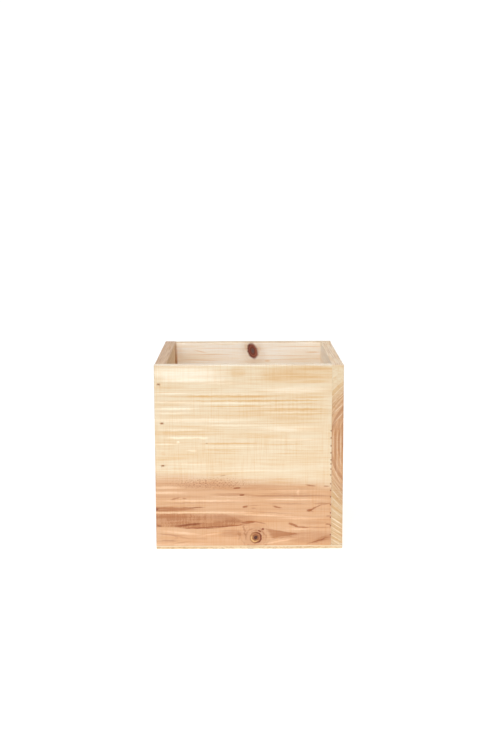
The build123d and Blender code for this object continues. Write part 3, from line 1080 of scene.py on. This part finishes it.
def rounded_square(half, radius, steps):
    """Points of a square outline with round corners, and their outward directions.

    steps are distances along the outline, counted from the middle of the front side. On a straight
    stretch the point moves with the distance, and on a corner the direction turns by
    distance / radius.
    """
    straight = half - radius
    quarter = 2 * straight + radius * math.pi / 2
    turns, along = np.divmod(steps + straight, quarter)
    arc = np.clip((along - 2 * straight) / radius, 0.0, math.pi / 2)
    x = np.minimum(along, 2 * straight) - straight + radius * np.sin(arc)
    y = -straight - radius * np.cos(arc)
    turn = turns * math.pi / 2
    points = np.stack([x * np.cos(turn) - y * np.sin(turn), x * np.sin(turn) + y * np.cos(turn)], axis=-1)
    facing = np.stack([np.sin(arc + turn), -np.cos(arc + turn)], axis=-1)
    return points, facing


def build_bottom():
    """The plywood sheet, from its outline to its finished piece.

    Over the top, a point at share s of the way out from the hole to the edge is (1 - s) cubed of
    a circle plus the rest of the square outline shrunk by s, so the rings turn from round to
    square. The same rings serve the underside, and the outline itself goes down the edge.
    """
    half, _, thick = np.array(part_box("bottom_panel")[1]) / MM
    brads = {side: brad_heads(side, f"panel_to_{side.name}_brads", 2, 0) for side in sides.values()}
    quarter = 2 * (half - RIM_EASE) + RIM_EASE * math.pi / 2
    crowds = [(place[0] - half, 2.4, 0.5) for place in brads[sides["front"]]]
    crowds += [(half - RIM_EASE / 2, 1.0, 0.25), (-half + RIM_EASE / 2, 1.0, 0.25)]
    one_side = uneven_lines(-quarter / 2, quarter / 2, 2.2, crowds)[:-1]
    steps = np.concatenate([one_side + turn * quarter for turn in range(4)])
    spans = len(steps)
    edge, out = rounded_square(half, RIM_EASE, steps)
    brad_line = 1 - sides["front"].thickness / 2 / half
    reach = uneven_lines(0.0, 1.0, 0.03, [(brad_line, 0.016, 0.0055), (1.0, 0.004, 0.0025)])
    circle = edge / np.linalg.norm(edge, axis=-1, keepdims=True)
    share = reach[:, None, None]
    rounder = (1.0 - share) ** 3
    ring = HOLE_RADIUS + share * (half - HOLE_RADIUS)
    flat = rounder * ring * circle[None] + (1.0 - rounder) * share * edge[None]
    turn = np.linspace(0.0, math.pi / 2, 5)[1:-1, None, None]
    foot = edge - FOOT_EASE * out
    eased = foot + FOOT_EASE * np.cos(turn) * out
    heights = np.linspace(thick, FOOT_EASE, 12)
    wall = np.linspace(0.0, thick, 8)[1:-1]
    over = flat[:-1]
    within_foot = flat[reach < 1.0 - 1.5 * FOOT_EASE / half]
    under = np.concatenate([foot[None], within_foot[::-1]])
    rows = [
        (over, np.full(len(over), thick), (0.0, 1.0)),
        (np.broadcast_to(edge, (len(heights), spans, 2)), heights, (1.0, 0.0)),
        (eased, (FOOT_EASE * (1 - np.sin(turn)))[:, 0, 0], (0.7, -0.7)),
        (under, np.zeros(len(under)), (0.0, -1.0)),
        (np.broadcast_to(flat[0], (len(wall), spans, 2)), wall, (-1.0, 0.0)),
    ]
    plans, ups, facings = zip(*rows)
    plan, up = np.concatenate(plans), np.concatenate(ups)[:, None, None]
    points = np.concatenate([plan, np.broadcast_to(up, (len(plan), spans, 1))], axis=-1)
    facings = np.repeat(facings, [len(part) for part in plans], axis=0)[:, None, :]
    across, upward = facings[..., :1], facings[..., 1:]
    level = np.concatenate([out, np.zeros((spans, 1))], axis=-1)
    facing = across * level + upward * np.array([0.0, 0.0, 1.0])
    fuzz = lattice_noise(points, (3.0, 3.0, 0.5), 91) * FUZZ_DEPTH * np.abs(across[..., 0])
    fuzz += lattice_noise(points, (30.0, 2.0, 2.0), 92) * VENEER_DEPTH
    depth = JOINT_GAP + fuzz
    for side, places in brads.items():
        board_place = side.from_box(points * MM)
        depth = depth + (upward[..., 0] < 0) * dents(board_place, places, 1, PANEL_DENT)
    points = points - facing * depth[..., None]
    index = np.arange(len(points) * spans).reshape(len(points), spans)
    index = np.concatenate([index, index[:1]])
    faces = quads(np.concatenate([index, index[:, :1]], axis=1))
    piece = new_piece("plywood_bottom", points.reshape(-1, 3) * MM, faces, plywood())
    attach(piece, "root")
    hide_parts("bottom_panel")
    print(piece.name, len(points), "x", spans, "grid,", 2 * len(faces), "triangles")


def plywood():
    """Pale veneer with its grain left to right, over a middle ply with its grain front to back."""
    shader = Shader(bpy.data.materials.new("thin_plywood"))
    here = shader.here()
    up = shader.split(here)[2]
    middle = up.ramp(0.85, 1.0) * up.ramp(1.95, 2.1, 1.0, 0.0)
    sideways = shader.facing((1.0, 0.0, 0.0)).math("ABSOLUTE").ramp(0.6, 0.8)
    edge = shader.facing((0.0, 0.0, 1.0)).math("ABSOLUTE").ramp(0.5, 0.8, 1.0, 0.0)
    ended = middle * (1.0 - sideways) + (1.0 - middle) * sideways
    long_grain = shader.noise(here, (34.0, 1.6, 1.6), 3.0).ramp(0.42, 0.75, 0.0, 0.6)
    dashes = shader.noise(here, (2.2, 2.2, 0.5), 2.0).ramp(0.45, 0.62, 0.0, 0.7)
    # Grey-brown patches low on the edge: partly the lowest ply's own darker tone, partly painted shade in
    # the small gaps where the sheet meets the floor.
    low_ply_tone_and_shade = shader.noise(here, (4.0, 4.0, 0.8), 2.0).ramp(0.48, 0.6) * up.ramp(0.3, 1.0, 1.0, 0.0)
    lower_seam, upper_seam = (
        (up - height).math("ABSOLUTE").ramp(0.03, 0.13, 1.0, 0.0) for height in PLY_SEAMS
    )
    colour = shader.mix(middle * edge, paint(226, 209, 180), paint(222, 198, 162))
    for amount, over, blend in (
        (long_grain, GOLDEN, "MULTIPLY"),
        (ended * edge * dashes, BROWN, "MULTIPLY"),
        (low_ply_tone_and_shade * edge * 0.85, paint(150, 136, 110), "MIX"),
        (((lower_seam + upper_seam) * edge * 0.35).clamped(), BROWN, "MULTIPLY"),
    ):
        colour = shader.mix(amount, colour, over, blend)
    fibre = shader.noise(here, (22.0, 0.5, 0.5), 3.0)
    normal = shader.bump(0.3, fibre + dashes * ended)
    shader.dress(base_color=colour, roughness=fibre * 0.15 + 0.6, normal=normal)
    return shader.owner


build_bottom()

# %% [markdown]
# ## The brads
# Thin nails cut from flat wire. Only their heads show, at the bottom of the dents. The CAD nodes are
# kept as they are and get a dull steel that has begun to rust, with the rust in patches.

# %% Rusty steel
STEEL = paint(184, 152, 122)
RUST = paint(176, 118, 76)
steel = Shader(bpy.data.materials.new("rusty_brad_steel"))
rusty = steel.noise(steel.here(), (1.2, 1.2, 1.2), 3.0).ramp(0.4, 0.6)
steel.dress(
    base_color=steel.mix(rusty, STEEL, RUST), metallic=0.5 - rusty * 0.5, roughness=rusty * 0.35 + 0.45
)
for name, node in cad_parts.items():
    if name.endswith("_brads"):
        node.data.materials.clear()
        node.data.materials.append(steel.owner)
        print("steel on", name)

# %% [markdown]
# ## The table
# Small goods are often shown on a sheet of milky acrylic with a lamp under it, which takes away the
# shadow at the foot. A plane would do for it. A disc made of rings shows no corner from any side,
# and a weak glow of its own stands in for the lamp below.

# %% Light table
TABLE_RADIUS = 0.5  # m
TABLE_GLOW = 0.44
MILK = (0.8, 0.8, 0.8, 1.0)


def disc(radius, rings, spokes):
    """A flat disc on the floor: ring r and spoke s give the point (r cos s, r sin s, 0)."""
    reaches = np.linspace(0.02, radius, rings)
    turns = np.linspace(0.0, 2 * math.pi, spokes, endpoint=False)
    reach, turn = np.meshgrid(reaches, turns, indexing="ij")
    points = np.stack([reach * np.cos(turn), reach * np.sin(turn), np.zeros_like(turn)], axis=-1)
    index = np.arange(rings * spokes).reshape(rings, spokes)
    faces = quads(np.concatenate([index, index[:, :1]], axis=1))
    middle = np.stack([index[0, 0:-1:2], index[0, 1::2], np.roll(index[0, ::2], -1)], axis=-1)
    centre = np.full_like(middle[:, :1], rings * spokes)
    faces = np.concatenate([faces, np.concatenate([centre, middle], axis=-1)])
    return np.concatenate([points.reshape(-1, 3), np.zeros((1, 3))]), faces


acrylic = Shader(bpy.data.materials.new("milky_acrylic"))
acrylic.dress(base_color=MILK, roughness=0.9, emission_color=WHITE, emission_strength=TABLE_GLOW)
table = new_piece("light_table", *disc(TABLE_RADIUS, 12, 64), acrylic.owner)
print("light table", 2 * TABLE_RADIUS, "m across")
